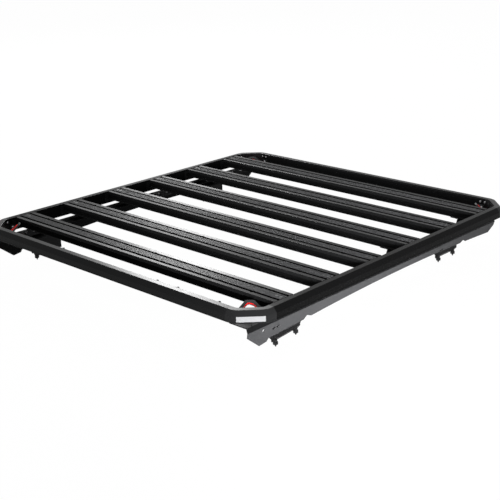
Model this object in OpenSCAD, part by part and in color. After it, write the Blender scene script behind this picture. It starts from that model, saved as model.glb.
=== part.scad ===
// Flat platform roof rack: six slats in a frame of rails and corner castings,
// carried by two folded sheet foot rails with clamps. Millimetres, +Z up, +Y to the rear.
// The origin lies under the middle of the rack, level with its lowest stud tips.
// Sections are drawn with x outwards from the top outer edge and y down from the deck.

/* [Tray] */
// Overall width across the rail lips
tray_w = 1243; // [1000:1:1500]
// Overall length across the rail lips
tray_l = 1336; // [1310:1:1700]
// Length of each rail taken up by a corner casting, from the crossing of the edge lines
corner_arm = 86; // [80:0.5:95]
// Length cut off each edge line by the chamfer of the corner
corner_cut = 62; // [56:0.1:66]
// Radius of the two bends of a corner, at the top outer edge
corner_bend = 40; // [30:0.5:55]

/* [Rail section] */
// Width of the flat top of the rail
cap_w = 18.5; // [14:0.1:26]
// Thickness of the top, web and outer wall
rail_wall = 3; // [2:0.1:4]
// Thickness of the inner leg
leg_t = 3.5; // [3:0.1:5]
// How far the crease stands out from the top outer edge
crease_out = 10.5; // [6:0.1:12]
// How far the crease lies below the deck
crease_drop = 14; // [8:0.1:18]
// How far the lip stands out from the top outer edge
lip_out = 12; // [11:0.1:20]
// How far the upper edge of the lip lies below the deck
lip_drop = 31; // [26:0.1:36]
// Height of the lip
lip_h = 2.5; // [1.5:0.1:4]
// How far the inner leg reaches below the deck
leg_drop = 44; // [40:0.5:49]
// Depth of the groove under the top, in the inner leg
groove_d = 1; // [0.5:0.1:1.5]
// Height of that groove
groove_h = 4; // [2:0.5:6]

/* [Slats] */
// Distance from the top outer edge to the middle of the first and the last slat
slat_in = 151; // [140:0.5:165]
// Width of a slat at the deck
slat_w = 75.7; // [70:0.1:90]
// Width of a slat at its foot
slat_foot_w = 81.2; // [76:0.1:96]
// Height of a slat
slat_h = 28; // [24:0.5:32]
// Wall thickness of a slat
slat_wall = 2.5; // [2:0.1:3.5]
// Height of the outer edge face of a slat
slat_edge_h = 10; // [7:0.5:12]
// How far the side of a slat is set back below its edge face
slat_recess = 4; // [2:0.1:6]
// Distance of each T-slot from the middle of the slat
slot_off = 19.75; // [17:0.05:22]
// Width of the mouth of a T-slot
slot_mouth = 8.5; // [6.5:0.1:10.5]
// Width of the channel of a T-slot
slot_channel = 17; // [13:0.1:19]
// Depth of the channel of a T-slot
slot_depth = 9; // [6:0.5:11]
// Number of ridges on the tread of a slat
ridge_count = 9; // [3:1:12]
// Width of the ridged tread
tread_w = 29; // [20:0.5:30]
// Depth of the grooves between the ridges
ridge_d = 0.9; // [0.4:0.1:1.2]
// Diameter of the drop-in holes of a T-slot
drop_in_d = 14; // [11:0.5:17]
// Distance from the middle of the slat to its inner drop-in holes
drop_in_near = 50; // [30:1:120]
// Distance from the middle of the slat to its outer drop-in holes
drop_in_far = 491; // [300:1:500]
// Thickness of the plate at each end of a slat
end_t = 2.5; // [2:0.1:4]
// How far that plate reaches beyond the foot of the slat on both sides
end_wide = 14; // [8:0.5:20]
// Depth of its upper edge below the deck
end_top = 8; // [7.5:0.5:12]
// Height of that plate
end_h = 32; // [28:0.5:34]

/* [Brackets] */
// Sheet thickness of the slat brackets
bracket_t = 3; // [2:0.1:4]
// Distance of the bracket's inner end from the top outer edge of the rail
bracket_in = 115; // [100:1:140]
// Distance of the bracket's bend under the slat from the top outer edge
bracket_bend = 84; // [80:0.5:95]
// How far the bracket's web leans inwards on its way down
bracket_lean = 6; // [2:0.5:12]
// Distance of the bracket's outer end from the top outer edge
bracket_out = 27; // [22:0.5:35]

/* [Foot rails] */
// Sheet thickness of the foot rails
foot_t = 3; // [2:0.1:4]
// How far the flange of the foot rail lies below the deck
foot_drop = 53; // [51:0.5:62]
// Distance of the flange's inner edge from the top outer edge of the rail
foot_in = 74; // [68:0.5:80]
// Distance of the flange's outer bend from the top outer edge
foot_bend = 39.5; // [37:0.1:44]
// Height of the sloping band below the flange
band_h = 15; // [10:0.5:20]
// How far the sloping band stands out at its lower bend
band_out = 4.5; // [2:0.1:6]
// Lean of the foot plate, inwards at its lower edge, in degrees
plate_lean = 8.2; // [4:0.1:10]
// Distance of its front end behind the front top outer edge
foot_front = 23.5; // [18:0.5:30]
// Distance of its rear end from the rear top outer edge
foot_rear = 33; // [15:0.5:40]
// Distance of the inner edge of the flange's front tab from the top outer edge
tab_in = 104; // [98:0.5:112]
// Length of that tab
tab_l = 62; // [50:0.5:70]
// Radius of the roof curve along the lower edge of the plate
roof_r = 8180; // [6000:10:14000]
// Height of the plate at the crown of the roof curve
crown_drop = 19; // [15:0.5:24]
// Distance of that crown in front of the rear clamp's middle
crown_in = 233; // [200:1:300]
// How far the front toe reaches below the roof curve
toe_low = 4.7; // [1:0.1:10]
// Diameter of the round hole in the plate
eye_d = 9; // [6:0.5:10]
// Distance of that hole from the front end of the foot rail
eye_y = 62.5; // [55:0.5:75]
// Depth of that hole below the bend at the top of the plate
eye_down = 11.5; // [9:0.5:13]
// Length of each slot in the plate
plate_slot_l = 13; // [9:0.5:14]
// Width of each slot in the plate
plate_slot_w = 6; // [3.5:0.5:7]
// Distance of the middle between the slots from the front end of the foot rail
plate_slot_y = 113.5; // [105:0.5:120]

/* [Seal strips] */
// Width of the seal strip on the foot rail
seal_w = 5; // [3:0.5:6]
// Height of the seal strip
seal_h = 8; // [5:0.5:8.5]
// Distance of the strip's front end from the front end of the foot rail
seal_front = 22; // [15:1:60]
// Clear gap between the strip and a bracket
seal_gap = 1; // [0.5:0.5:5]

/* [Clamps] */
// Length of a clamp
clamp_len = 110; // [104:1:120]
// Distance of the clamp's outer face from the top outer edge
clamp_out = 53.5; // [50:0.5:56]
// Width of the clamp across the rack
clamp_w = 13; // [12:0.5:16]
// Distance of the front clamp's middle from the front end of the foot rail
clamp_front_y = 178.5; // [172:0.5:185]
// Distance of the rear clamp's middle from the rear end of the foot rail
clamp_rear_in = 266.5; // [240:0.5:300]
// How far the clamp's crease lies below the roof curve
clamp_low = 20.8; // [18:0.1:26]
// Height of the clamp's lower jaw below its crease
jaw_h = 11; // [9:0.5:13]
// How far the jaw's tip is set in from the outer face
jaw_in = 9.5; // [6:0.1:10.5]
// Radius of the corners of the carrier behind the foot plate
carrier_round = 6; // [3:0.5:9]
// Diameter of the bolt head at the front end of a clamp
head_d = 12; // [9:0.5:13]
// How far that bolt head stands out
head_l = 8; // [5:0.5:12]
// Number of ribs on the outer face of a clamp
rib_count = 12; // [6:1:16]
// Depth of the grooves between the ribs
rib_d = 1; // [0.5:0.1:1.5]

/* [Clamp studs] */
// Distance between the two studs of a clamp
stud_gap = 86; // [80:0.5:88]
// Distance of the studs from the top outer edge
stud_in = 58.5; // [57:0.5:61]
// Distance of the studs' middle in front of the clamp's middle
stud_front = 3.5; // [0:0.5:5]
// Diameter of a stud
stud_d = 8; // [6:0.5:9]
// Width of the nut above the knob, across its corners
nut_d = 12; // [10:0.5:13]
// Depth of the top of the nut below the clamp's crease
nut_top = 3; // [2:0.5:5]
// Diameter of the flat end of a stud
tip_d = 3; // [2:0.5:5]
// Diameter of the knob on a stud
knob_d = 15; // [12:0.5:18]
// Height of the knob
knob_h = 7; // [5:0.5:9]
// Distance from the tip of the stud up to its knob
tip_h = 7.2; // [5:0.1:9]

/* [Tie-down loops] */
// Distance from the crossing of the edge lines to the loop, at mid height
loop_in = 102; // [98:0.5:108]
// Depth of that point below the deck
loop_drop = 18.5; // [17.5:0.1:21]
// Lean of the loop from level, in degrees
loop_tilt = 45; // [40:1:50]
// Height of the loop's crown above that point, along the loop
loop_h = 22.5; // [18:0.5:23]
// Half the width of the loop's outer edge at its crown
loop_top = 11.5; // [9:0.5:14]
// Slope of the loop's legs, sideways for each unit of height
loop_flare = 0.854; // [0.7:0.001:0.95]
// Width of the loop's band
loop_band = 9; // [7:0.5:11]
// Radius of the crown inside the loop
loop_round = 13; // [6:0.5:14]
// Thickness of the loop's plate
loop_t = 5; // [3:0.5:6]
// Thickness of the loop's lining
lining_t = 2.2; // [1:0.1:3]
// How far the lining stands out on both faces of the plate
lining_proud = 1; // [0.2:0.1:1.5]
// Length of the loop's ear on a rail
ear_l = 22; // [16:0.5:24]
// Height of the ear
ear_h = 20; // [14:0.5:24]
// Thickness of the ear
ear_t = 3; // [2:0.5:4]

/* [Corner badge] */
// How far the plain badge wraps round each bend of the casting, in degrees
badge_wrap = 12.5; // [5:0.5:40]
// Height of the badge
badge_h = 15; // [8:0.5:15]
// Thickness of the badge
badge_t = 0.8; // [0.5:0.1:1.2]

/* [Hidden] */
$fn = 48;
slat_count = 6;
bracket_slats = [1, 3, 6];
// Half width and half length of the top outer edge
edge_x = tray_w / 2 - lip_out;
edge_y = tray_l / 2 - lip_out;
slat_pitch = 2 * (edge_y - slat_in) / (slat_count - 1);
foot_len = 2 * edge_y - foot_front - foot_rear;
clamp_rear_y = foot_len - clamp_rear_in;
crown_y = clamp_rear_y - crown_in;
toe_drop = roof_drop(50) + toe_low;
// Depth of the clamps' creases below the deck; the front clamp slopes with the roof
clamp_front_drop = foot_drop + band_h + roof_drop(clamp_front_y) + clamp_low;
clamp_rear_drop = foot_drop + band_h + roof_drop(clamp_rear_y) + clamp_low;
clamp_slope = atan((crown_y - clamp_front_y) / roof_r);
// Depth of the stud tips below a clamp's crease
stud_drop = jaw_h + knob_h + tip_h;
// Height of the deck above the lowest stud tips
deck_z = clamp_front_drop + stud_drop * cos(clamp_slope)
    + (stud_front + (stud_gap + tip_d) / 2) * sin(clamp_slope);
web_drop = lip_drop + lip_h;
slat_len = 2 * (edge_x - cap_w - end_t);
bend_reach = corner_bend * tan(22.5);
chamfer_half = corner_cut / sqrt(2) - bend_reach;
// A bend laps into the straights by this angle, and is drawn this much finer than they are,
// so that no two faces of a corner lie almost in one plane
bend_lap = 0.5;
bend_fine = 0.998;
// Point well inside the rail section, about which the bends are drawn finer
bend_core = [-8, -12];
// Distance from the crossing of the edge lines to where the arms end and the bends start
set_back = corner_cut + bend_reach;
foot_y = -edge_y + foot_front;
// Distance from the crossing of the edge lines to the middle of a loop's ear, and the depth
// of the ear's lower edge
ear_mid = loop_in * sqrt(2) - cap_w - 27.5;
ear_low = leg_drop - 2;
lip_foot = 1.5;
nut_gap = 0.3;
edge_round = 1.2;
// Height of the ribbed face above the clamp's crease, and how far the carrier stays above it
jaw_top = 18;
clamp_seat = 10;
// Colours
anodised = [0.16, 0.165, 0.175];
casting = [0.18, 0.185, 0.195];
sheet_black = [0.22, 0.225, 0.235];
rubber_black = [0.05, 0.05, 0.05];
plastic_black = [0.1, 0.1, 0.105];
signal_red = [0.75, 0.07, 0.07];
plain_silver = [0.82, 0.82, 0.84];

function unit(v) = v / norm(v);
function left_of(d) = [-d[1], d[0]];

// Points of an arc of radius r that rounds the corner p between the points a and b
function corner_arc(a, p, b, r, n = 3) =
    let (u = unit(a - p), v = unit(b - p),
         half = acos(u * v) / 2,
         centre = p + unit(u + v) * r / sin(half),
         from = p + u * r / tan(half) - centre,
         to = p + v * r / tan(half) - centre,
         turn = sign(cross(from, to)) * (180 - 2 * half))
    [for (i = [0:n]) let (t = turn * i / n)
        centre + [from[0] * cos(t) - from[1] * sin(t), from[0] * sin(t) + from[1] * cos(t)]];

// Closed outline with a radius at each corner; 0 keeps the corner sharp
function rounded(path, radii) = let (k = len(path))
    [for (i = [0:k - 1])
        for (q = radii[i] > 0
            ? corner_arc(path[(i + k - 1) % k], path[i], path[(i + 1) % k], radii[i])
            : [path[i]]) q];

// Path moved sideways by t, with mitred bends
function beside(path, t) =
    [for (i = [0:len(path) - 1])
        let (n1 = left_of(unit(i > 0 ? path[i] - path[i - 1] : path[1] - path[0])),
             n2 = i < len(path) - 1 ? left_of(unit(path[i + 1] - path[i])) : n1,
             m = n1 + n2)
        path[i] + m * 2 * t / (m * m)];

function reversed(path) = [for (i = [len(path) - 1:-1:0]) path[i]];

// Section of folded sheet: the path is one face, and t the thickness to its left
module folded(path, t) {
    polygon(concat(path, reversed(beside(path, t))));
}

// Runs a section, drawn outwards and upwards, for a length towards the front
module run(length) {
    rotate([90, 0, 0]) linear_extrude(length) children();
}

module at_deck() {
    translate([0, 0, deck_z]) children();
}

// Mirrors what is drawn for the right side when side is -1
module on_side(side) {
    mirror([side < 0 ? 1 : 0, 0, 0]) children();
}

// Places what is drawn for the front right corner, at the crossing of its edge lines.
// It is alike on both sides of the diagonal, so a turn takes it to the other corners.
module at_corner(side, end) {
    turn = side > 0 ? (end > 0 ? 90 : 0) : (end > 0 ? 180 : -90);
    at_deck() translate([side * edge_x, end * edge_y, 0]) rotate([0, 0, turn]) children();
}

module rail_section() {
    difference() {
        polygon(rounded([
            [-cap_w, 0], [0, 0], [crease_out, -crease_drop],
            [lip_out - 1.2, -lip_drop + lip_foot], [lip_out, -lip_drop],
            [lip_out, -web_drop], [-cap_w + leg_t, -web_drop],
            [-cap_w + leg_t, -leg_drop], [-cap_w, -leg_drop],
            [-cap_w, -rail_wall - groove_h], [-cap_w + groove_d, -rail_wall - groove_h],
            [-cap_w + groove_d, -rail_wall], [-cap_w, -rail_wall]],
            [0.8, 2.5, 3, 0, 0.5, 0.5, 0, 0.8, 0.8, 0, 0, 0, 0]));
        polygon([
            [-cap_w + leg_t, -rail_wall], [-rail_wall / 2, -rail_wall],
            [crease_out - rail_wall, -crease_drop - 0.6],
            [crease_out - rail_wall, -lip_drop + 0.5],
            [-cap_w + leg_t, -lip_drop + 0.5]]);
    }
}

module side_rail(side) {
    reach = edge_y - corner_arm;
    color(anodised) at_deck() on_side(side)
        translate([edge_x, reach, 0]) run(2 * reach) rail_section();
}

module end_rail(end) {
    reach = edge_x - corner_arm;
    color(anodised) at_deck() rotate([0, 0, end > 0 ? 90 : -90])
        translate([edge_y, reach, 0]) run(2 * reach) rail_section();
}

// Moves from the crossing of the edge lines to the middle of the chamfer, x outwards
module at_chamfer() {
    translate([-corner_cut / 2, corner_cut / 2, 0]) rotate([0, 0, -45]) children();
}

// Runs a section along the chamfer and round the bend at each of its ends, through a turn
module round_corner(turn) {
    translate([0, chamfer_half, 0]) run(2 * chamfer_half) children();
    for (s = [-1, 1]) translate([-corner_bend, s * chamfer_half, 0])
        rotate([0, 0, (s - 1) / 2 * turn - bend_lap]) rotate_extrude(angle = turn + 2 * bend_lap)
            translate([corner_bend, 0] + bend_core) scale(bend_fine) translate(-bend_core)
                children();
}

module corner_casting(side, end) {
    arm = corner_arm - set_back;
    color(casting) at_corner(side, end) at_chamfer() union() {
        round_corner(45) rail_section();
        for (s = [-1, 1]) translate([-corner_bend, s * chamfer_half, 0]) rotate([0, 0, s * 45])
            translate([corner_bend, s > 0 ? arm : 0, 0]) run(arm) rail_section();
    }
}

// Points of the ridged tread, from its right edge to its left
function tread_points() = let (step = tread_w / ridge_count)
    [for (i = [0:ridge_count], p = i < ridge_count
        ? [[tread_w / 2 - i * step, -ridge_d], [tread_w / 2 - i * step - step * 0.3, 0],
           [tread_w / 2 - (i + 1) * step + step * 0.3, 0]]
        : [[-tread_w / 2, -ridge_d]]) p];

module slat_section() {
    edge_out = slat_w / 2 + 1;
    recess_x = edge_out - slat_recess;
    foot_lip = 1.5;
    cell = slot_off - slot_channel / 2 - slat_wall;
    cell_side = recess_x - slat_wall;
    cell_top = slat_wall * 2 + slot_depth;
    right = [[slat_w / 2, 0], [edge_out, -slat_edge_h], [recess_x, -slat_edge_h - 1.5],
        [recess_x, -slat_h + foot_lip + 3], [slat_foot_w / 2, -slat_h + foot_lip],
        [slat_foot_w / 2, -slat_h]];
    left = [for (p = reversed(right)) [-p[0], p[1]]];
    difference() {
        polygon(concat(reversed(tread_points()),
            corner_arc([0, 0], right[0], right[1], edge_round),
            [for (i = [1:5]) right[i]], [for (i = [0:4]) left[i]],
            corner_arc(left[4], left[5], [0, 0], edge_round)));
        for (s = [-1, 1]) translate([s * slot_off, 0]) {
            translate([-slot_mouth / 2, -slat_wall - 0.5]) square([slot_mouth, slat_wall + 1]);
            translate([-slot_channel / 2, -slat_wall - slot_depth])
                square([slot_channel, slot_depth]);
        }
        polygon([[-cell, -slat_wall - 1], [cell, -slat_wall - 1], [cell, -cell_top],
            [cell_side, -cell_top], [cell_side, -slat_h + slat_wall],
            [-cell_side, -slat_h + slat_wall], [-cell_side, -cell_top], [-cell, -cell_top]]);
    }
}

function slat_y(i) = ((slat_count + 1) / 2 - i) * slat_pitch;

// Plates between the ends of the slats and the inner leg of the side rail, cut clear of
// the ears of the loops
module slat_ends(side) {
    half = slat_foot_w / 2 + end_wide;
    low = end_top + end_h;
    clear = ear_mid + ear_l / 2 + 1;
    color(sheet_black) at_deck() on_side(side) translate([edge_x - cap_w - end_t, 0, -low])
        difference() {
            for (i = [1:slat_count]) translate([0, slat_y(i) - half, 0])
                cube([end_t, 2 * half, end_h]);
            for (y = [-edge_y, edge_y - clear]) translate([-1, y, -1])
                cube([end_t + 2, clear, low - ear_low + ear_h + 2]);
        }
}

module slat(i) {
    color(anodised) at_deck() translate([0, slat_y(i), 0]) difference() {
        rotate([90, 0, 90]) translate([0, 0, -slat_len / 2])
            linear_extrude(slat_len) slat_section();
        for (p = [[drop_in_far, -slot_off], [-drop_in_near, -slot_off],
                  [-drop_in_far, slot_off], [drop_in_near, slot_off]])
            translate([p[0], p[1], -slat_wall - 1]) cylinder(h = slat_wall + 2, d = drop_in_d);
    }
}

// Folded bracket under the end of a slat, down to the flange of the foot rail
module slat_bracket(side, i) {
    path = [[-bracket_in, -slat_h], [-bracket_bend, -slat_h],
        [-bracket_bend - bracket_lean, -foot_drop + bracket_t],
        [-bracket_out, -foot_drop + bracket_t]];
    color(sheet_black) at_deck() on_side(side)
        translate([edge_x, slat_y(i) + slat_foot_w / 2, 0])
            run(slat_foot_w) folded(path, -bracket_t);
}

// Height of the plate at a distance y from the front end of the foot rail
function roof_drop(y) = crown_drop + (y - crown_y) * (y - crown_y) / 2 / roof_r;

// Lower edge of the plate, as distances along the rail and down from the lower bend
function roof_edge(from, to) = let (n = ceil((to - from) / 80))
    [for (i = [0:n]) let (y = from + (to - from) * i / n) [y, roof_drop(y)]];

function plate_edge() =
    let (front_a = clamp_front_y - clamp_len / 2, front_b = clamp_front_y + clamp_len / 2,
         rear_a = clamp_rear_y - clamp_len / 2, rear_b = clamp_rear_y + clamp_len / 2,
         relief = 4, notch = 10, notch_l = 14)
    concat(
        [[0, -2], [0, 15], [50, toe_drop], [79.5, toe_drop - 3.7],
         [86, roof_drop(86) - relief], [front_b - 1, roof_drop(front_b)],
         [front_b + notch_l - 2, roof_drop(front_b) - notch]],
        roof_edge(front_b + notch_l + 18, rear_a - 18),
        [[rear_a - 12, roof_drop(rear_a) - notch * 0.8], [rear_a, roof_drop(rear_a) - notch * 0.8]],
        roof_edge(rear_a + 2, rear_b - 2),
        [[rear_b + notch_l - 2, roof_drop(rear_b) - notch * 0.7]],
        roof_edge(rear_b + notch_l + 15, foot_len - 34),
        [[foot_len - 3, 11.5], [foot_len, -2]]);

module plate_slot(y, drop, turn) {
    reach = (plate_slot_l - plate_slot_w) / 2;
    translate([y, -drop]) rotate(turn) {
        for (s = [-reach, reach]) translate([s, 0]) circle(d = plate_slot_w);
        translate([-reach, -plate_slot_w / 2]) square([2 * reach, plate_slot_w]);
    }
}

module foot_plate() {
    stretch = 1 / cos(plate_lean);
    translate([-foot_bend + band_out, 0, -foot_drop - band_h]) rotate([0, plate_lean, 0])
        rotate([90, 0, 90]) translate([0, 0, -foot_t]) linear_extrude(foot_t)
            difference() {
                polygon([for (p = plate_edge()) [p[0], -p[1] * (p[1] > 0 ? stretch : 0)]]);
                translate([eye_y, -eye_down]) circle(d = eye_d);
                for (s = [-1, 1]) plate_slot(plate_slot_y + s * 8.5, 18 - s * 0.5, 20);
            }
}

module foot_rail(side) {
    bend = [-foot_bend + band_out, -foot_drop - band_h];
    path = [[-foot_in, -foot_drop], [-foot_bend, -foot_drop], bend,
        bend - 2 * [sin(plate_lean), cos(plate_lean)]];
    color(sheet_black) at_deck() on_side(side) translate([edge_x, foot_y, 0]) union() {
        translate([0, foot_len, 0]) run(foot_len) folded(path, -foot_t);
        translate([-tab_in, 0, -foot_drop - foot_t]) linear_extrude(foot_t)
            polygon([[0, 0], [tab_in - foot_in + 1, 0], [tab_in - foot_in + 1, tab_l],
                [tab_in - foot_in, tab_l], [0, tab_l - (tab_in - foot_in)]]);
        foot_plate();
    }
}

// Strip along the outer edge of the flange, broken at each bracket
module foot_seal(side) {
    half = slat_foot_w / 2 + seal_gap;
    starts = concat([-edge_y + foot_front + seal_front],
        [for (i = reversed(bracket_slats)) slat_y(i) + half]);
    ends = concat([for (i = reversed(bracket_slats)) slat_y(i) - half],
        [foot_y + foot_len - seal_front]);
    color(rubber_black) at_deck() on_side(side)
        for (k = [0:len(starts) - 1])
            translate([edge_x - foot_bend - seal_w, starts[k], -foot_drop])
                cube([seal_w, ends[k] - starts[k], seal_h]);
}

// Distance inwards of the inner face of the foot plate, at a depth below the deck
function plate_inner(drop) =
    foot_bend - band_out + (drop - foot_drop - band_h) * tan(plate_lean) + foot_t / cos(plate_lean);

// Upper part of a clamp, flat against the inner face of the foot plate
module clamp_carrier(drop) {
    top = foot_drop + band_h + 6;
    low = min(drop - 12, foot_drop + band_h + crown_drop - 3);
    inner = clamp_out + clamp_w;
    half = clamp_len / 2;
    foot = drop - clamp_seat;
    intersection() {
        translate([0, half, 0]) run(clamp_len)
            polygon([[-plate_inner(top), -top], [-plate_inner(low), -low],
                [-clamp_out, -foot], [-inner, -foot], [-inner, -top - 6], [-inner + 6, -top]]);
        translate([-inner - 1, 0, 0]) rotate([90, 0, 90]) linear_extrude(clamp_w + 30)
            polygon(rounded([[-half, -foot], [half, -foot], [half, -top], [-half, -top]],
                [0, 0, carrier_round, carrier_round]));
    }
}

// Lower part of a clamp: a ribbed jaw that tapers inwards to its tip
module clamp_jaw() {
    inner = clamp_out + clamp_w;
    step = clamp_len / rib_count;
    translate([0, clamp_len / 2, 0]) difference() {
        run(clamp_len) polygon(rounded([[-clamp_out, jaw_top], [-clamp_out, 0],
            [-clamp_out - jaw_in, -jaw_h], [-inner + 0.5, -jaw_h], [-inner, -2],
            [-inner, jaw_top]], [0, 1.5, 1, 0.5, 0, 0]));
        for (i = [1:rib_count - 1])
            translate([-clamp_out - rib_d, -i * step - 1, 1]) cube([rib_d + 1, 2, jaw_top]);
    }
}

module clamp(side, y, drop, slope) {
    color(plastic_black) at_deck() on_side(side) translate([edge_x, foot_y + y, 0])
        difference() {
            union() {
                clamp_carrier(drop);
                translate([0, 0, -drop]) rotate([slope, 0, 0]) {
                    clamp_jaw();
                    translate([-clamp_out - clamp_w / 2, -clamp_len / 2 + 1, jaw_top / 2])
                        rotate([90, 0, 0]) cylinder(h = head_l + 1, d = head_d);
                }
            }
            translate([0, 0, -drop]) rotate([slope, 0, 0])
                for (s = [-1, 1])
                    translate([-stud_in, -stud_front + s * stud_gap / 2, -jaw_h - 1])
                        cylinder(h = jaw_h + 1 - nut_top, d = nut_d + 2 * nut_gap, $fn = 6);
        }
}

module stud() {
    translate([0, 0, -stud_drop]) cylinder(h = tip_h, d1 = tip_d, d2 = stud_d);
    translate([0, 0, -jaw_h - knob_h]) cylinder(h = knob_h, d = knob_d);
    translate([0, 0, -jaw_h]) cylinder(h = jaw_h - nut_top, d = nut_d, $fn = 6);
}

module clamp_studs(side, y, drop, slope) {
    color(plastic_black) at_deck() on_side(side) translate([edge_x, foot_y + y, -drop])
        rotate([slope, 0, 0])
            for (s = [-1, 1]) translate([-stud_in, -stud_front + s * stud_gap / 2, 0]) stud();
}

// Closed outline of the space under a loop's edge, inset from its outer edge, with a
// radius at its crown
function loop_outline(inset, crown) =
    let (lean = atan(loop_flare), top = loop_h - inset,
         half = loop_top + inset * loop_flare - inset / cos(lean),
         foot = -60, wide = half + (top - foot) * loop_flare)
    concat([[foot, -wide]],
        corner_arc([foot, -wide], [top, -half], [top, half], crown),
        corner_arc([top, -half], [top, half], [foot, wide], crown),
        [[foot, wide]]);

// Stands what is drawn flat in the plane of the loop, in the corner of the frame
module in_loop_plane() {
    rotate([0, 0, 135]) translate([loop_in, 0, -loop_drop]) rotate([0, -loop_tilt, 0]) children();
}

// The space between the two rails that meet in a corner, above a depth below the deck
module between_rails(low) {
    translate([-cap_w - 200, cap_w, -low]) cube([200, 200, low]);
}

module loop_ears() {
    translate([-cap_w - ear_t, ear_mid - ear_l / 2, -ear_low]) cube([ear_t, ear_l, ear_h]);
    translate([-ear_mid - ear_l / 2, cap_w, -ear_low]) cube([ear_l, ear_t, ear_h]);
}

module tie_down_loop(side, end) {
    color(plastic_black) at_corner(side, end) union() {
        intersection() {
            in_loop_plane() translate([0, 0, -loop_t / 2]) linear_extrude(loop_t)
                difference() {
                    polygon(loop_outline(0, loop_round / 2));
                    polygon(loop_outline(loop_band, loop_round));
                }
            between_rails(ear_low);
        }
        loop_ears();
    }
}

module tie_down_lining(side, end) {
    thick = loop_t + 2 * lining_proud;
    color(signal_red) at_corner(side, end) intersection() {
        in_loop_plane() translate([0, 0, -thick / 2]) linear_extrude(thick)
            difference() {
                polygon(loop_outline(loop_band, loop_round));
                polygon(loop_outline(loop_band + lining_t, loop_round - lining_t));
            }
        between_rails(leg_drop - 4);
    }
}

// Distance of the lower outer face of the casting from the top outer edge, at a depth
function face_out(drop) = crease_out + (lip_out - 1.2 - crease_out)
    * (drop - crease_drop) / (lip_drop - lip_foot - crease_drop);

module badge_section() {
    middle = (crease_drop + lip_drop - lip_foot) / 2;
    top = middle - badge_h / 2;
    low = middle + badge_h / 2;
    polygon([[face_out(top), -top], [face_out(top) + badge_t, -top],
        [face_out(low) + badge_t, -low], [face_out(low), -low]]);
}

// Plain plate on the lower face of the front right casting, wrapped round both bends
module corner_badge() {
    color(plain_silver) at_corner(1, -1) at_chamfer() round_corner(badge_wrap) badge_section();
}

end_rail(-1);  // front_rail
end_rail(1);  // rear_rail
side_rail(-1);  // left_rail
side_rail(1);  // right_rail
corner_casting(-1, -1);  // corner_front_left
corner_casting(1, -1);  // corner_front_right
corner_casting(-1, 1);  // corner_rear_left
corner_casting(1, 1);  // corner_rear_right
slat(1);  // slat_1
slat(2);  // slat_2
slat(3);  // slat_3
slat(4);  // slat_4
slat(5);  // slat_5
slat(6);  // slat_6
slat_ends(-1);  // slat_ends_left
slat_ends(1);  // slat_ends_right
slat_bracket(-1, 1);  // bracket_left_1
slat_bracket(-1, 3);  // bracket_left_3
slat_bracket(-1, 6);  // bracket_left_6
slat_bracket(1, 1);  // bracket_right_1
slat_bracket(1, 3);  // bracket_right_3
slat_bracket(1, 6);  // bracket_right_6
foot_rail(-1);  // foot_rail_left
foot_rail(1);  // foot_rail_right
foot_seal(-1);  // foot_seal_left
foot_seal(1);  // foot_seal_right
clamp(-1, clamp_front_y, clamp_front_drop, clamp_slope);  // clamp_front_left
clamp(1, clamp_front_y, clamp_front_drop, clamp_slope);  // clamp_front_right
clamp(-1, clamp_rear_y, clamp_rear_drop, 0);  // clamp_rear_left
clamp(1, clamp_rear_y, clamp_rear_drop, 0);  // clamp_rear_right
clamp_studs(-1, clamp_front_y, clamp_front_drop, clamp_slope);  // clamp_studs_front_left
clamp_studs(1, clamp_front_y, clamp_front_drop, clamp_slope);  // clamp_studs_front_right
clamp_studs(-1, clamp_rear_y, clamp_rear_drop, 0);  // clamp_studs_rear_left
clamp_studs(1, clamp_rear_y, clamp_rear_drop, 0);  // clamp_studs_rear_right
tie_down_loop(-1, -1);  // tie_down_loop_front_left
tie_down_loop(1, -1);  // tie_down_loop_front_right
tie_down_loop(-1, 1);  // tie_down_loop_rear_left
tie_down_loop(1, 1);  // tie_down_loop_rear_right
tie_down_lining(-1, -1);  // tie_down_lining_front_left
tie_down_lining(1, -1);  // tie_down_lining_front_right
tie_down_lining(-1, 1);  // tie_down_lining_rear_left
tie_down_lining(1, 1);  // tie_down_lining_rear_right
corner_badge();
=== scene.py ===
# %% [markdown]
# Flat platform roof rack, dressed for its portrait.
# The rack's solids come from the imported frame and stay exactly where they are.
# This script gives each of them a finish, adds the small fasteners that hold them
# together, and sets up the studio and the camera.

# %% The frame
import math

import bpy
import numpy as np
from mathutils import Matrix, Vector


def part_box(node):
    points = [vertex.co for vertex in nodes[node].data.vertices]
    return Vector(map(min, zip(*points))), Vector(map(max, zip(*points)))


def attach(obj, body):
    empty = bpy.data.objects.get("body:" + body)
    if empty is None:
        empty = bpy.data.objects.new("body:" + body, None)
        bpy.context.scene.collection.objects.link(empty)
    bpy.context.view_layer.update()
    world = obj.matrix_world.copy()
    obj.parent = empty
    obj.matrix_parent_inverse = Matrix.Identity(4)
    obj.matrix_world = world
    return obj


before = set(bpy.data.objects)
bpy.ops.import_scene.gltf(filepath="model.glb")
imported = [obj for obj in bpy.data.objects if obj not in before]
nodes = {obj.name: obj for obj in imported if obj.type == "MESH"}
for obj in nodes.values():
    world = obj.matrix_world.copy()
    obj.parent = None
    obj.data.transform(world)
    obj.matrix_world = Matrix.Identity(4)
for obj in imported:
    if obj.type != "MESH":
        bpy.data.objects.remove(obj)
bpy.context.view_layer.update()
print("pieces in the frame:", len(nodes))

# %% [markdown]
# Places on the rack. The finishes and the bolts both follow the rack's own edges, so
# the edges are read off the solids once. The deck is the plane of the slats' tops. Each
# rail has a lip low on its outside, a narrow top, and an inner leg that faces the slats.

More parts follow.
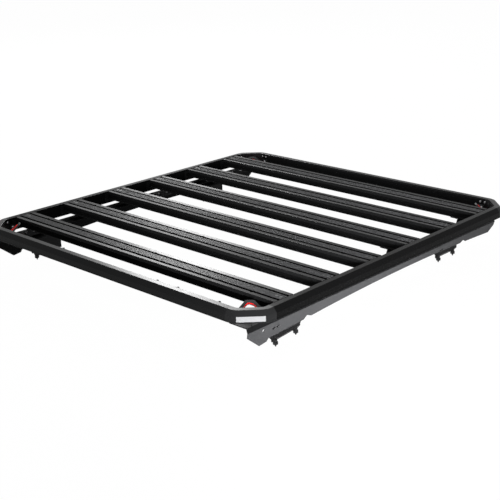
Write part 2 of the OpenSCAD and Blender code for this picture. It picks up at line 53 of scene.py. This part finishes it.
# %% Places on the rack, in metres
RAIL_LIP = 0.012
RAIL_TOP = 0.0185
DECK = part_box("slat_3")[1].z
edge_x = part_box("right_rail")[1].x - RAIL_LIP
edge_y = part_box("rear_rail")[1].y - RAIL_LIP
leg_x = edge_x - RAIL_TOP
leg_y = edge_y - RAIL_TOP
slat_middles = [(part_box(f"slat_{n}")[0].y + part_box(f"slat_{n}")[1].y) / 2 for n in range(1, 7)]
slat_pitch = slat_middles[0] - slat_middles[1]
print("deck height:", round(DECK, 4), "inner legs at:", round(leg_x, 4), round(leg_y, 4))
print("slat middles:", [round(y, 3) for y in slat_middles], "pitch:", round(slat_pitch, 4))

# %% [markdown]
# The camera. The rack was drawn through a long lens from its front right corner, a
# little above the deck. Azimuth, elevation and roll are enough to place the three axes
# of the camera, and its distance then follows from how large the rack looks.

# %% Camera
CAMERA_AZIMUTH = math.radians(43.331)
CAMERA_ELEVATION = math.radians(19.381)
CAMERA_ROLL = math.radians(-1.236)
CAMERA_SPOT = Vector((2.2647, -2.4101, 1.0298 + DECK))
CAMERA_LENS = 73.36


def camera_axes(azimuth, elevation, roll):
    """The camera's right, up and back directions: back points from the rack to the
    camera, right lies level, and the roll turns right and up about back."""
    back = Vector((math.sin(azimuth) * math.cos(elevation),
                   -math.cos(azimuth) * math.cos(elevation), math.sin(elevation)))
    right = Vector((math.cos(azimuth), math.sin(azimuth), 0))
    up = back.cross(right)
    return (right * math.cos(roll) + up * math.sin(roll),
            up * math.cos(roll) - right * math.sin(roll), back)


camera = bpy.data.objects.new("camera", bpy.data.cameras.new("camera"))
bpy.context.scene.collection.objects.link(camera)
axes = camera_axes(CAMERA_AZIMUTH, CAMERA_ELEVATION, CAMERA_ROLL)
camera.matrix_world = Matrix.Translation(CAMERA_SPOT) @ Matrix(axes).transposed().to_4x4()
camera.data.sensor_width = 36
camera.data.lens = CAMERA_LENS
camera.data.clip_end = 60
bpy.context.scene.camera = camera
print("camera at:", tuple(round(v, 3) for v in CAMERA_SPOT), "lens:", CAMERA_LENS)

# %% [markdown]
# Shader maths as Python. A shader node can be wired up by hand, but a formula is easier
# to read. A Wire holds one socket, and plus, minus, times and so on add the Math nodes
# that work it out. The reflected forms let a number stand first, as in 1 - mask.

# %% A wire: one value in a node tree


class Wire:
    """A value in a node tree. Arithmetic on it adds Math nodes."""

    def __init__(self, graph, socket):
        self.graph = graph
        self.socket = socket

    def math(self, operation, *values):
        return self.graph.node("ShaderNodeMath", {"operation": operation},
                               dict(enumerate(values)))

    def __add__(self, other):
        return self.math("ADD", self, other)

    def __mul__(self, other):
        return self.math("MULTIPLY", self, other)

    def __sub__(self, other):
        return self.math("SUBTRACT", self, other)

    def __rsub__(self, other):
        return self.math("SUBTRACT", other, self)

    def __truediv__(self, other):
        return self.math("DIVIDE", self, other)

    def __rtruediv__(self, other):
        return self.math("DIVIDE", other, self)

    def __mod__(self, other):
        return self.math("FLOORED_MODULO", self, other)

    def __rmod__(self, other):
        return self.math("FLOORED_MODULO", other, self)

    def __abs__(self):
        return self.math("ABSOLUTE", self)

    __radd__ = __add__
    __rmul__ = __mul__

    def maximum(self, other):
        return self.math("MAXIMUM", self, other)

    def beyond(self, edge, blur):
        """0 below an edge and 1 above it, with a smooth rise that is blur wide."""
        return self.graph.node("ShaderNodeMapRange", {"interpolation_type": "SMOOTHSTEP"},
                               {"Value": self, "From Min": edge - blur / 2,
                                "From Max": edge + blur / 2})

    def within(self, edge, blur):
        """The reverse of beyond: 1 below the edge and 0 above it."""
        return 1.0 - self.beyond(edge, blur)


print("a wire has plus, minus, times, divide, modulo, abs and two soft edges")

# %% [markdown]
# The graph is the tree that the wires run through. Every node comes from its one method
# node, so a shader reads as a row of short calls. Patterns start from Object
# coordinates, which are metres on the piece itself and don't move with the camera.

# %% A graph: the node tree of a material or a world


class Graph:
    """The node tree of a material or a world."""

    def __init__(self, owner):
        owner.use_nodes = True
        self.owner = owner
        self.tree = owner.node_tree

    def node(self, kind, settings, inputs, output=0):
        """Adds a node: its settings first, then the values or links of its sockets. It
        gives one of the node's outputs, or nothing for a node that has none."""
        made = self.tree.nodes.new(kind)
        for key, value in settings.items():
            setattr(made, key, value)
        for key, value in inputs.items():
            self.feed(made.inputs[key], value)
        return Wire(self, made.outputs[output]) if made.outputs else None

    def feed(self, socket, value):
        if isinstance(value, Wire):
            self.tree.links.new(value.socket, socket)
        else:
            socket.default_value = value

    def set(self, **inputs):
        """Sets sockets of the Principled shader, by name with _ for a space."""
        shader = self.tree.nodes["Principled BSDF"]
        for key, value in inputs.items():
            self.feed(shader.inputs[key.replace("_", " ")], value)

    def spot(self):
        return self.node("ShaderNodeTexCoord", {}, {}, "Object")

    def along(self, axis):
        """One of the Object coordinates, in metres."""
        return self.node("ShaderNodeSeparateXYZ", {}, {"Vector": self.spot()}, axis)

    def depth(self):
        """How far a point lies below the deck, in metres."""
        return DECK - self.along("Z")

    def scaled(self, x, y, z):
        """Object coordinates stretched along each axis."""
        return self.node("ShaderNodeMapping", {}, {"Vector": self.spot(), "Scale": (x, y, z)})

    def noise(self, where, scale, detail=2.0, roughness=0.5):
        return self.node("ShaderNodeTexNoise", {}, {"Vector": where, "Scale": scale,
                         "Detail": detail, "Roughness": roughness}, "Fac")

    def mix(self, share, low, high):
        """A colour between low and high, each a colour or a wire."""
        low, high = (c if isinstance(c, Wire) else (*c, 1) for c in (low, high))
        return self.node("ShaderNodeMix", {"data_type": "RGBA"}, {0: share, 6: low, 7: high}, 2)

    def bump(self, height, strength, distance):
        """Raises the surface by a height; the distance is in metres."""
        self.set(Normal=self.node("ShaderNodeBump", {}, {"Height": height,
                 "Strength": strength, "Distance": distance}, "Normal"))

    def ray(self, kind):
        """1 for light paths of one kind, such as Is Camera Ray, and 0 for the others."""
        return self.node("ShaderNodeLightPath", {}, {}, kind)


print("a graph makes nodes, noises, mixes and bumps")

# %% [markdown]
# The finishes. Aluminium extrusions and castings on such a rack are powder coated: a
# nearly black film with a fine orange-peel skin, a soft sheen, and slow changes of
# gloss. One recipe with a few numbers gives them all, so that they match each other
# but are not the same.

# %% Coated metal
DRIFT_SCALE = 6.0
PATCH_SCALE, PATCH_SWING = 40.0, 0.08
SKIN_STRENGTH, SKIN_HEIGHT = 0.1, 0.00001
GRAIN_SHARE, LINE_SHARE = 0.4, 0.6


def greys(shade):
    """The darker and the lighter end of a coat's grey, a little bluer than neutral."""
    return [(v, v * 1.01, v * 1.05) for v in (shade * 0.82, shade * 1.18)]


def coated_metal(name, shade, rough, gloss, grain, drawn=None, zone=None):
    """A powder coat. The colour drifts round a grey shade with a broad noise, the
    roughness with another, and a fine noise is the skin. gloss is the strength of the
    reflection seen head on, and grain the scale of the skin. drawn gives the stretch of
    very fine die lines along an extrusion, per metre along x, y and z. A zone is a
    function that takes the graph and gives masks, each with the shade and the roughness
    that hold inside it."""
    g = Graph(bpy.data.materials.new(name))
    drift = g.noise(g.spot(), DRIFT_SCALE, 3.0)
    patch = g.noise(g.spot(), PATCH_SCALE, 2.0)
    colour = g.mix(drift, *greys(shade))
    roughness = rough + PATCH_SWING * (patch - 0.5)
    for mask, inner_shade, inner_rough in (zone(g) if zone else []):
        colour = g.mix(mask, colour, g.mix(drift, *greys(inner_shade)))
        roughness = roughness + mask * (inner_rough - rough)
    g.set(Base_Color=colour, Roughness=roughness, Specular_IOR_Level=gloss)
    skin = g.noise(g.spot(), grain, 1.0)
    if drawn:
        skin = skin * GRAIN_SHARE + g.noise(g.scaled(*drawn), 1.0, 1.0) * LINE_SHARE
    g.bump(skin, SKIN_STRENGTH, SKIN_HEIGHT)
    return g.owner


print("greys of a coat of shade 0.006:", [[round(v, 5) for v in c] for c in greys(0.006)])

# %% [markdown]
# A slat is not one even black here. Its ridged middle strip is painted lighter, a painted
# highlight where the ridges catch more light, and the recessed lower part of its sides is
# painted darker, a painted shade. The foremost slat's recessed sides get the deepest
# painted shade, as they face the front rail, and the channels of the T-slots get the same
# painted shade. All zones follow from where a point lies: its distance from the middle of
# the nearest slat, and its depth below the deck. Each zone has its own look, which is a
# shade and a roughness.

# %% Zones of the slats
# The first look is a painted highlight on the ridged strip; the other two are painted shade.
TREAD_HIGHLIGHT_LOOK, UNDERCUT_SHADE_LOOK, DARKEST_SHADE_LOOK = (0.028, 0.29), (0.0030, 0.70), (0.0006, 0.90)
TREAD_HALF, TREAD_DEPTH = 0.0145, 0.0022
UNDERCUT_TOP, UNDERCUT_BOTTOM = 0.0105, 0.0262
SLOT_MIDDLE, SLOT_HALF = 0.01975, 0.0080
SLOT_TOP, SLOT_BOTTOM = 0.0006, 0.01225
foremost_rear = slat_middles[5] + 0.070


def slat_zones(g):
    """Masks of the painted highlight on the ridged middle strip, of the painted shade in the
    sides' recesses, of the deepest painted shade in the foremost slat's recesses, and of the
    painted shade in the T-slots with their drop-in holes. The slats' middles lie half a
    pitch beyond each whole number of pitches."""
    off_middle = abs((g.along("Y") / slat_pitch) % 1.0 - 0.5) * slat_pitch
    depth = g.depth()
    # Painted highlight on the ridged strip, then painted shade in the recesses, on the foremost
    # slat and in the T-slot channels.
    tread_highlight = off_middle.within(TREAD_HALF, 0.0010) * depth.within(TREAD_DEPTH, 0.0004)
    undercut_shade = depth.beyond(UNDERCUT_TOP, 0.0006) * depth.within(UNDERCUT_BOTTOM, 0.0008)
    foremost = undercut_shade * g.along("Y").within(foremost_rear, 0.0100)
    slots = (abs(off_middle - SLOT_MIDDLE).within(SLOT_HALF, 0.0004)
             * depth.beyond(SLOT_TOP, 0.0004) * depth.within(SLOT_BOTTOM, 0.0005))
    return [(tread_highlight, *TREAD_HIGHLIGHT_LOOK), (undercut_shade, *UNDERCUT_SHADE_LOOK), (foremost, *DARKEST_SHADE_LOOK),
            (slots, *DARKEST_SHADE_LOOK)]


print("tread width:", 2 * TREAD_HALF, "rear of the foremost slat:", round(foremost_rear, 4))

# %% [markdown]
# The rails' inner legs face the slats and stay in the dark, so their coat is painted a
# darker, duller grey there, a painted shade. A mask of the space inside the legs finds
# them. It starts just below the deck, which leaves the top of each rail as glossy as its
# outside.

# %% Zone of the rails' inner legs
# The legs' look is a painted shade, darker than the front and rear rails' own grey.
LEG_SHADE_LOOK = (0.0020, 0.75)
LEG_SKIN = 0.00025
LEG_TOP = 0.0012


def inner_leg(g):
    """Mask of everything inside the legs' faces and below the top."""
    inside = (abs(g.along("X")).within(leg_x + LEG_SKIN, 0.0003)
              * abs(g.along("Y")).within(leg_y + LEG_SKIN, 0.0003))
    return [(inside * g.depth().beyond(LEG_TOP, 0.0004), *LEG_SHADE_LOOK)]


print("inner legs end at:", round(leg_x + LEG_SKIN, 5), round(leg_y + LEG_SKIN, 5))

# %% [markdown]
# A foot rail is one folded sheet: a flange, a sloping band and a tall plate that leans
# inwards on its way down. The plate's outer face is painted as a paler satin than the
# rest, painted light where the light falls on it, while the flange and the inner side, in
# the shade under the rack, keep the darker coat. The middle of the sheet parts the two
# faces, so the mask follows it down the lean.

# %% Zone of the foot rails' plates
# The plate's look is painted light: a paler grey on the outer face that the light falls on.
PLATE_LIGHT_LOOK = (0.042, 0.45)
PLATE_TOP = 0.068
PLATE_IN = 0.0365
PLATE_LEAN = math.tan(math.radians(8.2))
plate_middle = edge_x - PLATE_IN


def plate_light_zone(g):
    """Mask of the painted light on the plate's outer face: beyond the middle of the sheet, below
    the band.
    """
    depth = g.depth()
    upright = abs(g.along("X")) + (depth - PLATE_TOP) * PLATE_LEAN
    outer = upright.beyond(plate_middle, 0.0006)
    return [(outer * depth.beyond(PLATE_TOP - 0.0005, 0.0030), *PLATE_LIGHT_LOOK)]


print("middle of the plate at its top:", round(plate_middle, 5))

# %% [markdown]
# The coats themselves. Each line gives a coat's name, shade, roughness, gloss and the
# scale of its skin, then its die lines and its zones, if any. Extrusions have fine die
# lines along their length, which is x on the slats and the front and rear rails, and y
# on the side rails. Castings and sheet have none. The left rail's coat is the least
# glossy, because the camera sees its top at the lowest angle, where a gloss turns white.
# The right rail's coat is a darker grey than that of the front and rear rails: a painted shade,
# set against the light of the low lamp on the right.

# %% The coats
ALONG_X, ALONG_Y = (2, 900, 900), (900, 2, 900)
slat_coat = coated_metal("slat_coat", 0.0060, 0.27, 0.040, 1800, ALONG_X, slat_zones)
rail_coat = coated_metal("rail_coat", 0.0055, 0.27, 0.045, 1800, ALONG_X, inner_leg)
# Painted shade: the right rail's grey is darker than the other rails'.
side_shade_coat = coated_metal("side_shade_coat", 0.0018, 0.27, 0.034, 1800, ALONG_Y, inner_leg)
far_coat = coated_metal("far_coat", 0.0030, 0.30, 0.015, 1800, ALONG_Y, inner_leg)
cast_coat = coated_metal("cast_coat", 0.0075, 0.32, 0.075, 1100)
foot_coat = coated_metal("foot_coat", 0.0060, 0.42, 0.03, 1500, None, plate_light_zone)
end_coat = coated_metal("end_coat", 0.0040, 0.50, 0.05, 1500)
sheet_coat = coated_metal("sheet_coat", 0.0160, 0.42, 0.12, 1500)
clamp_coat = coated_metal("clamp_coat", 0.0055, 0.42, 0.08, 1500)
stud_coat = coated_metal("stud_coat", 0.0070, 0.38, 0.25, 2200)
loop_coat = coated_metal("loop_coat", 0.0100, 0.38, 0.20, 1600)
print("coats:", [m.name for m in bpy.data.materials if m.name.endswith("_coat")])

# %% [markdown]
# Rubber. A moulded seal runs along the flange of each foot rail. Rubber has nearly no colour and a
# wide, weak sheen, and a fine pebbled bump keeps it from looking like black paint.

# %% Rubber


def rubber(name):
    """Matte black rubber with a fine pebbled skin."""
    g = Graph(bpy.data.materials.new(name))
    pebbles = g.noise(g.spot(), 900, 2.0)
    g.set(Base_Color=g.mix(pebbles, (0.010, 0.010, 0.010), (0.016, 0.016, 0.016)),
          Roughness=0.72 + 0.1 * (pebbles - 0.5))
    g.bump(pebbles, 0.3, 0.0001)
    return g.owner


seal_rubber = rubber("seal_rubber")
print("made", seal_rubber.name)

# %% [markdown]
# The red lining of the tie-down loops. It is a smooth plastic moulding, so its red is
# deep and even, with only a slow change in depth, and its highlight is soft.

# %% Red lining


def red_lining(name):
    """Smooth red moulding: a clear red with slightly deeper patches."""
    g = Graph(bpy.data.materials.new(name))
    patch = g.noise(g.spot(), 60, 2.0)
    g.set(Base_Color=g.mix(patch, (0.78, 0.006, 0.007), (0.88, 0.010, 0.010)),
          Roughness=0.40 + 0.08 * (patch - 0.5), Specular_IOR_Level=0.08)
    g.bump(g.noise(g.spot(), 1200, 1.0), 0.12, 0.00005)
    return g.owner


lining_red = red_lining("lining_red")
print("made", lining_red.name)

# %% [markdown]
# Bare silver. The corner plate is brushed aluminium, and the bolts are plain zinc, which
# is darker. Brushing leaves long scratches: a noise that is stretched along one axis
# gives them, and the same noise moves the colour, the roughness and the bump together.

# %% Brushed silver
BRUSH_ACROSS = (900, 900, 3000)
EVEN_GRAIN = (2500, 2500, 2500)


def brushed_silver(name, dark, light, scale):
    """Bare metal with brush lines: noise drawn out along one axis moves the colour, the
    roughness and a shallow bump."""
    g = Graph(bpy.data.materials.new(name))
    lines = g.noise(g.scaled(*scale), 1.0, 3.0, 0.7)
    low, high = ((v, v * 1.01, v * 1.03) for v in (dark, light))
    g.set(Base_Color=g.mix(lines, low, high), Metallic=1.0,
          Roughness=0.30 + 0.16 * (lines - 0.5))
    g.bump(lines, 0.1, 0.00004)
    return g.owner


badge_silver = brushed_silver("badge_silver", 0.64, 0.78, BRUSH_ACROSS)
bolt_silver = brushed_silver("bolt_silver", 0.26, 0.40, EVEN_GRAIN)
print("made", badge_silver.name, "and", bolt_silver.name)

# %% [markdown]
# Each solid gets one finish. The names of the solids say what they are, so a table from
# the start of a name to a finish is enough, and the longest start that fits wins. A face
# can hold the number of a material that is no longer there, so all are set to the first.

# %% Finishes on the frame's pieces
FINISHES = {
    "front_rail": rail_coat, "rear_rail": rail_coat,
    "left_rail": far_coat, "right_rail": side_shade_coat,
    "corner_badge": badge_silver,
    "corner": cast_coat, "slat": slat_coat, "slat_ends": end_coat,
    "bracket": sheet_coat, "foot_rail": foot_coat,
    "foot_seal": seal_rubber,
    "clamp_studs": stud_coat, "clamp": clamp_coat,
    "tie_down_lining": lining_red, "tie_down_loop": loop_coat,
}


def finish_of(name):
    """The finish whose name is the longest start of the piece's name."""
    return FINISHES[max((k for k in FINISHES if name.startswith(k)), key=len)]


for name, piece in nodes.items():
    piece.data.materials.clear()
    piece.data.materials.append(finish_of(name))
    piece.data.polygons.foreach_set("material_index", [0] * len(piece.data.polygons))
print("finishes given to", len(nodes), "pieces")

# %% [markdown]
# The fasteners. Screws hold the treads to the end plates, and bolts hold the ears of the
# loops, the brackets and the rails. They could be modelled one by one, but each is a
# turned part: a profile carried round an axis. So one set of functions makes them all,
# and copies of one kind share a mesh, because they are alike and never move apart.
# First, how far out a ring lies. A socket or a hexagon differs from a round ring only
# in its radius at each angle.

# %% Rings, round or with flat sides
MM = 0.001
SEGMENTS = 24
ANGLES = np.arange(SEGMENTS) * 2 * np.pi / SEGMENTS


def ring_radii(rings):
    """The radius of each ring at each angle. A round ring has 0 sides and keeps its own
    radius. One with flat sides is a regular polygon: radius / cos(a), where a is the
    angle from the middle of the nearest side."""
    radius, sides = rings[:, 0:1], rings[:, 2:3]
    wedge = 2 * np.pi / np.maximum(sides, 1)
    from_middle = np.where(sides > 0, ANGLES % wedge - wedge / 2, 0)
    return radius / np.cos(from_middle)


hexagon = ring_radii(np.array([[1.0, 0.0, 6.0]]))
print("a hexagon reaches from", hexagon.min(), "to", round(hexagon.max(), 4), "of its radius")

# %% [markdown]
# Next, the points. Two directions at right angles to the axis span the plane of a ring.
# Whole arrays work out all rings, angles and copies at once.

# %% Points of a turned part


def across(axes):
    """Two directions at right angles to each axis and to each other."""
    upright = np.abs(axes[:, 2:3]) > 0.9
    helper = np.where(upright, [[1.0, 0, 0]], [[0, 0, 1.0]])
    side = np.cross(helper, axes)
    side /= np.linalg.norm(side, axis=1, keepdims=True)
    return side, np.cross(axes, side)


def turned_points(profile, spots, axes):
    """Point = spot + radius * (cos(a) * side + sin(a) * other) + height * axis, for every
    ring and angle of every copy. Each copy's two poles come last."""
    rings = np.array(profile[1:-1], float)
    side, other = across(axes)
    around = (np.cos(ANGLES)[None, :, None] * side[:, None, :]
              + np.sin(ANGLES)[None, :, None] * other[:, None, :])
    out = ring_radii(rings)[None, :, :, None] * MM * around[:, None, :, :]
    up = rings[None, :, 1, None, None] * MM * axes[:, None, None, :]
    body = spots[:, None, None, :] + out + up
    pole_heights = np.array([profile[0][1], profile[-1][1]]) * MM
    poles = spots[:, None, :] + pole_heights[None, :, None] * axes[:, None, :]
    return np.concatenate([body.reshape(len(spots), -1, 3), poles], axis=1)


print("directions across the x axis:", [v[0].tolist() for v in across(np.array([[1.0, 0, 0]]))])

# %% [markdown]
# Then the faces: four-sided ones between neighbouring rings, and a fan of triangles at
# each pole, so that the part is closed. One copy's faces, moved on by its number of
# points, are the next copy's.

# %% Faces of a turned part


def turned_faces(rings, copies):
    """Quads between rings and a fan at each pole, all seen from outside anticlockwise."""
    each = rings * SEGMENTS + 2
    here = np.arange(SEGMENTS)
    after = (here + 1) % SEGMENTS
    low = np.arange(rings - 1)[:, None] * SEGMENTS
    high = low + SEGMENTS
    quads = np.stack([low + here, low + after, high + after, high + here], axis=2).reshape(-1, 4)
    last = (rings - 1) * SEGMENTS
    foot = np.stack([np.full(SEGMENTS, each - 2), after, here], axis=1)
    head = np.stack([np.full(SEGMENTS, each - 1), last + here, last + after], axis=1)
    moved = (np.arange(copies) * each)[:, None, None]
    groups = [(part + moved).reshape(-1, part.shape[1]).tolist() for part in (quads, foot, head)]
    return sum(groups, [])


print("faces of a part with three rings:", len(turned_faces(3, 1)))

# %% [markdown]
# Last, the object. Its place is in its mesh and the object stays at the origin. All the
# fasteners ride the rack's only body.

# %% A mesh of turned parts


def turned(name, profile, spots, axes, material):
    """One closed mesh with a copy of a turned part at every spot. The profile is a row of
    (radius, height, sides) in millimetres, from the pole at its foot to the pole at its
    head. The spots are in metres, and each axis points from foot to head."""
    points = turned_points(profile, np.array(spots, float), np.array(axes, float))
    faces = turned_faces(len(profile) - 2, len(spots))
    mesh = bpy.data.meshes.new(name)
    mesh.from_pydata(points.reshape(-1, 3).tolist(), [], faces)
    mesh.materials.append(material)
    made = bpy.data.objects.new(name, mesh)
    bpy.context.scene.collection.objects.link(made)
    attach(made, "root")
    print(name, "copies:", len(spots), "faces:", len(faces))


# %% [markdown]
# Heads. A button head is a low dome with a hexagon socket sunk in it. A hexagon head
# sits on a round washer and has a chamfer round its top. A countersunk screw shows only
# a disc with a socket. A little of each foot goes into the solid that it holds.

# %% Profiles of the heads
COUNTERSUNK = [(0, -2, 0), (2.4, -2, 0), (4.1, 0.5, 0), (3.9, 0.8, 0), (2.0, 0.8, 6),
               (1.9, -0.6, 6), (0, -0.6, 0)]
WASHER = 1.0


def socket_head(radius, height, sunk):
    """Profile of a button head with a hexagon socket. Its widths are shares of the head's
    radius, and sunk is how deep its foot goes."""
    return [(0, -sunk, 0), (radius * 0.55, -sunk, 0), (radius * 0.55, 0, 0), (radius, 0, 0),
            (radius, height * 0.35, 0), (radius * 0.86, height * 0.82, 0),
            (radius * 0.62, height, 0), (radius * 0.44, height, 6),
            (radius * 0.40, height * 0.3, 6), (0, height * 0.3, 0)]


def hexagon_head(radius, height, sunk):
    """Profile of a hexagon head on a washer, with the chamfer round its top. Its widths
    are shares of the radius to the corners."""
    return [(0, -sunk, 0), (radius * 0.6, -sunk, 0), (radius * 0.6, 0, 0),
            (radius * 1.35, 0, 0), (radius * 1.35, WASHER, 0), (radius * 0.87, WASHER, 6),
            (radius * 0.87, height * 0.85, 6), (radius * 0.80, height, 0), (0, height, 0)]


print("rings of a button head:", len(socket_head(1, 1, 1)) - 2)

# %% [markdown]
# Screws in the treads. The photograph shows two small ones near each end of a slat, in
# the ridged strip between the slots. They hold the slat to its end plate.

# %% Screws in the treads
TREAD_SCREW_X = (0.563, 0.578)
TREAD_SCREW_SUNK = 0.0006
tread_spots = [(s * x, y, DECK - TREAD_SCREW_SUNK)
               for y in slat_middles for s in (-1, 1) for x in TREAD_SCREW_X]
turned("tread_screws", COUNTERSUNK, tread_spots, [(0, 0, 1)] * len(tread_spots), stud_coat)

# %% [markdown]
# Bolts of the loops' ears. Each loop crosses a corner and ends in an ear on either rail,
# held by one silver bolt that faces the inside of the rack.

# %% Bolts of the loops' ears
EAR = 0.0962
EAR_THICK = 0.003
EAR_DEPTH = 0.032
ear_spots, ear_axes = [], []
for sx in (-1, 1):
    for sy in (-1, 1):
        ear_spots += [(sx * (leg_x - EAR_THICK), sy * (edge_y - EAR), DECK - EAR_DEPTH),
                      (sx * (edge_x - EAR), sy * (leg_y - EAR_THICK), DECK - EAR_DEPTH)]
        ear_axes += [(-sx, 0, 0), (0, -sy, 0)]
turned("ear_bolts", socket_head(5.2, 3.4, 2.0), ear_spots, ear_axes, bolt_silver)

# %% [markdown]
# Bolts of the front rail. In the photograph four dark bolt ends stand just behind the
# rail's top, against the white floor. So they lie right below the deck and reach out
# farther than the other bolts do.

# %% Bolts of the front rail
FRONT_BOLT_X = (-0.209, 0.224, 0.309, 0.471)
FRONT_BOLT_DEPTH = 0.0041
front_spots = [(x, -leg_y, DECK - FRONT_BOLT_DEPTH) for x in FRONT_BOLT_X]
turned("front_bolts", socket_head(3.8, 9.0, 2.0), front_spots,
       [(0, 1, 0)] * len(front_spots), stud_coat)

# %% [markdown]
# Bolts of the castings. Each casting is bolted to both of its rails by a pair of small
# bolts through the inner leg, which show as silver dots in the corners.

# %% Bolts through the rails' inner legs
RAIL_BOLT_DEPTH = 0.012
RAIL_BOLT_X = (-0.527, -0.509, 0.506, 0.524)
RAIL_BOLT_Y = (-0.5946, -0.5770, 0.5770, 0.5946)
rail_spots, rail_axes = [], []
for s in (-1, 1):
    rail_spots += [(x, s * leg_y, DECK - RAIL_BOLT_DEPTH) for x in RAIL_BOLT_X]
    rail_axes += [(0, -s, 0)] * len(RAIL_BOLT_X)
for s in (-1, 1):
    rail_spots += [(s * leg_x, y, DECK - RAIL_BOLT_DEPTH) for y in RAIL_BOLT_Y]
    rail_axes += [(-s, 0, 0)] * len(RAIL_BOLT_Y)
turned("rail_bolts", socket_head(3.8, 2.4, 2.0), rail_spots, rail_axes, bolt_silver)

# %% [markdown]
# Bolts of the brackets. Each bracket has two hexagon bolts on the foot rail's flange,
# heads up, and two under the slat, heads down.

# %% Bolts of the brackets and the foot rails
BRACKET_SLATS = (1, 3, 6)
BRACKET_BOLT_Y = (-0.024, 0.024)
FLANGE_IN, FLANGE_DEPTH = 0.060, 0.050
UNDER_IN, UNDER_DEPTH = 0.100, 0.031
bracket_spots, bracket_axes = [], []
for number in BRACKET_SLATS:
    for s in (-1, 1):
        for dy in BRACKET_BOLT_Y:
            y = slat_middles[number - 1] + dy
            bracket_spots += [(s * (edge_x - FLANGE_IN), y, DECK - FLANGE_DEPTH),
                              (s * (edge_x - UNDER_IN), y, DECK - UNDER_DEPTH)]
            bracket_axes += [(0, 0, 1), (0, 0, -1)]
turned("bracket_bolts", hexagon_head(6.5, 5.2, 1.5), bracket_spots, bracket_axes, bolt_silver)

# %% [markdown]
# White without glare. The photograph's background is pure white, yet the rack is not
# flooded with light. So a surface of the studio can look white to the camera and to a
# gloss, and still give a quieter light of its own. Light Path tells the rays apart.

# %% White for some rays


def shown_white(g, seen, mirrored):
    """How far a surface shows as plain white: one share where the camera sees it, or sees
    it through glass, and another where a gloss mirrors it. The larger one counts."""
    camera_ray = g.ray("Is Camera Ray") * seen
    glass_ray = g.ray("Is Transmission Ray") * seen
    return camera_ray.maximum(glass_ray).maximum(g.ray("Is Glossy Ray") * mirrored)


print("camera rays, glass and gloss see white")

# %% [markdown]
# The floor is a wide pale plane. For the camera and in reflections it is a clean white,
# but a share of it still takes the soft light and so keeps the shadow.

# %% Floor
FLOOR_HALF = 9.0
FLOOR_PALE = (0.8, 0.8, 0.8, 1)
FLOOR_SEEN, FLOOR_MIRRORED = 0.985, 0.6

g = Graph(bpy.data.materials.new("floor"))
g.tree.nodes.clear()
pale = g.node("ShaderNodeBsdfDiffuse", {}, {"Color": FLOOR_PALE})
white = g.node("ShaderNodeEmission", {}, {"Color": (1, 1, 1, 1), "Strength": 1.0})
share = shown_white(g, FLOOR_SEEN, FLOOR_MIRRORED)
mixed = g.node("ShaderNodeMixShader", {}, {0: share, 1: pale, 2: white})
g.node("ShaderNodeOutputMaterial", {}, {"Surface": mixed})

mesh = bpy.data.meshes.new("floor")
mesh.from_pydata([(-FLOOR_HALF, -FLOOR_HALF, 0), (FLOOR_HALF, -FLOOR_HALF, 0),
                  (FLOOR_HALF, FLOOR_HALF, 0), (-FLOOR_HALF, FLOOR_HALF, 0)], [], [(0, 1, 2, 3)])
mesh.materials.append(g.owner)
floor = bpy.data.objects.new("floor", mesh)
bpy.context.scene.collection.objects.link(floor)
print("floor:", 2 * FLOOR_HALF, "m wide")

# %% [markdown]
# The sky is white to the camera and in reflections. The light that it gives is a quiet
# grey, which only fills the shadows.

# %% Sky
SKY_FILL = 0.45
SKY_GREY = (0.8, 0.8, 0.8, 1)

world = bpy.data.worlds.new("studio")
bpy.context.scene.world = world
g = Graph(world)
g.tree.nodes.clear()
fill = g.node("ShaderNodeBackground", {}, {"Color": SKY_GREY, "Strength": SKY_FILL})
white = g.node("ShaderNodeBackground", {}, {"Color": (1, 1, 1, 1), "Strength": 1.0})
mixed = g.node("ShaderNodeMixShader", {}, {0: shown_white(g, 1.0, 1.0), 1: fill, 2: white})
g.node("ShaderNodeOutputWorld", {}, {"Surface": mixed})
print("sky fill:", SKY_FILL)

# %% [markdown]
# Lamps. A wide ceiling light gives the even tone. A tall lamp behind the rack, where the
# deck mirrors it into the camera, gives the gleam across the front slats and the front
# rail. A small one low on the right lights the foot plate, and fades towards its rear.

# %% Lamps


def softbox(name, spot, target, width, height, power, spread=180, mirrored=True):
    """A rectangular lamp at a spot, turned to face a target. spread is the angle that it
    lights, and one that isn't mirrored gives light but doesn't show in a gloss."""
    lamp = bpy.data.lights.new(name, "AREA")
    lamp.shape = "RECTANGLE"
    lamp.size = width
    lamp.size_y = height
    lamp.energy = power
    lamp.spread = math.radians(spread)
    made = bpy.data.objects.new(name, lamp)
    bpy.context.scene.collection.objects.link(made)
    made.visible_glossy = mirrored
    made.location = spot
    made.rotation_euler = (Vector(target) - Vector(spot)).to_track_quat("-Z", "Y").to_euler()
    print("lamp", name, "power:", power)


def away(azimuth, elevation, distance):
    """A spot seen from the rack's deck: azimuth from the rear towards the left."""
    a, e = math.radians(azimuth), math.radians(elevation)
    return (-distance * math.sin(a) * math.cos(e), distance * math.cos(a) * math.cos(e),
            DECK + distance * math.sin(e))


softbox("ceiling", (0, 0, 4.0), (0, 0, 0), width=4.0, height=4.0, power=115)
softbox("gleam", away(51.3, 31, 6.2), (0, 0, DECK), width=0.75, height=1.7, power=250)
softbox("side_glow", (1.9, -1.5, 0.40), (0.57, -0.15, 0.08), width=0.8, height=0.4, power=7.6,
        spread=34, mirrored=False)

# %% [markdown]
# Last, the tones are shown as they are, without a film curve, because the background has
# to stay white.

# %% Tones and the end
bpy.context.scene.view_settings.view_transform = "Standard"
